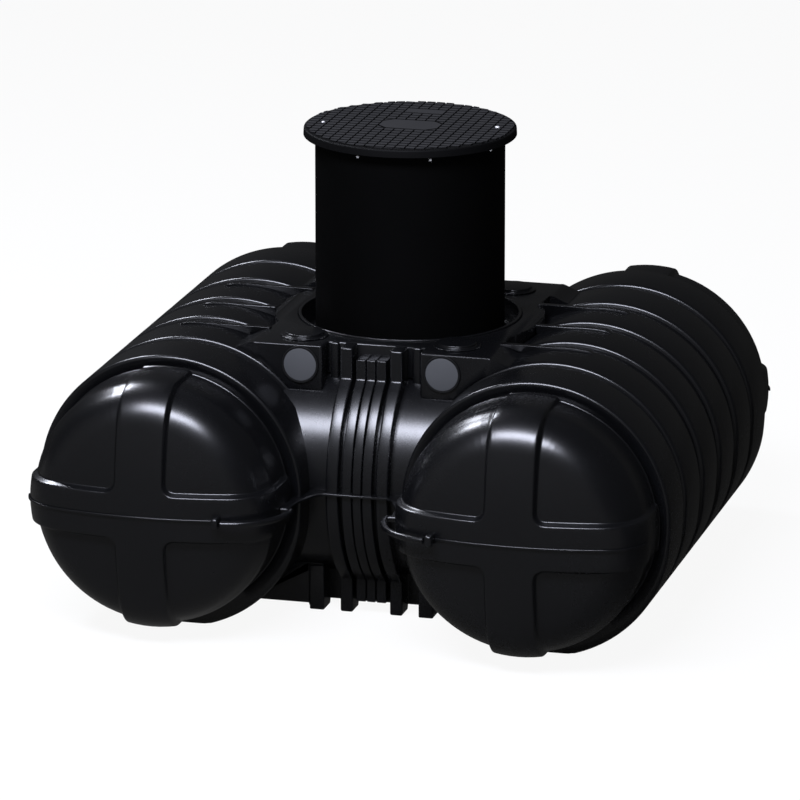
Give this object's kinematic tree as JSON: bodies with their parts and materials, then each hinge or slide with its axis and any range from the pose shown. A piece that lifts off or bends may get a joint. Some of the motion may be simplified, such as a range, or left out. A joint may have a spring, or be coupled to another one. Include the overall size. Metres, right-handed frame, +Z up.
{
  "type": "septic tank",
  "caption": "Low twin-barrel black plastic septic tank with ribbed lying barrels, domed ends, a joining waist, a central riser and a screwed round cover.",
  "frame": {"origin": "on the ground, at the middle of the tank's footprint, under the riser", "axes": "+X right across the two barrels, +Y back along the barrels, +Z up"},
  "size_m": [2.122, 2.216, 1.546],
  "materials": {
    "tank_black": "satin moulded polyethylene",
    "riser_black": "matt",
    "cover_grey": "matt, moulded tread",
    "port_grey": "smooth matt",
    "seal_rubber": "matt",
    "screw_steel": "plain stainless"
  },
  "bodies": {
    "root": {"left_upper_shell": "tank_black", "right_upper_shell": "tank_black", "left_lower_shell": "tank_black", "right_lower_shell": "tank_black", "left_front_upper_end": "tank_black", "left_front_lower_end": "tank_black", "right_front_upper_end": "tank_black", "right_front_lower_end": "tank_black", "left_rear_upper_end": "tank_black", "left_rear_lower_end": "tank_black", "right_rear_upper_end": "tank_black", "right_rear_lower_end": "tank_black", "front_waist_upper": "tank_black", "front_waist_lower": "tank_black", "rear_waist_upper": "tank_black", "rear_waist_lower": "tank_black", "deck": "tank_black", "front_columns": "tank_black", "rear_columns": "tank_black", "neck_collar": "tank_black", "floor_pan": "tank_black", "front_floor_block": "tank_black", "rear_floor_block": "tank_black", "left_gussets": "tank_black", "right_gussets": "tank_black", "deck_bosses": "tank_black", "seam_ribs": "tank_black", "seam_flanges": "tank_black", "lifting_eyes": "tank_black", "front_port_seals": "seal_rubber", "front_port_plugs": "port_grey", "rear_port_seals": "seal_rubber", "rear_port_plugs": "port_grey", "riser": "riser_black", "riser_seal": "seal_rubber", "riser_screws": "screw_steel", "cover_frame": "riser_black", "cover": "cover_grey", "cover_screws": "screw_steel"}
  },
  "joints": []
}
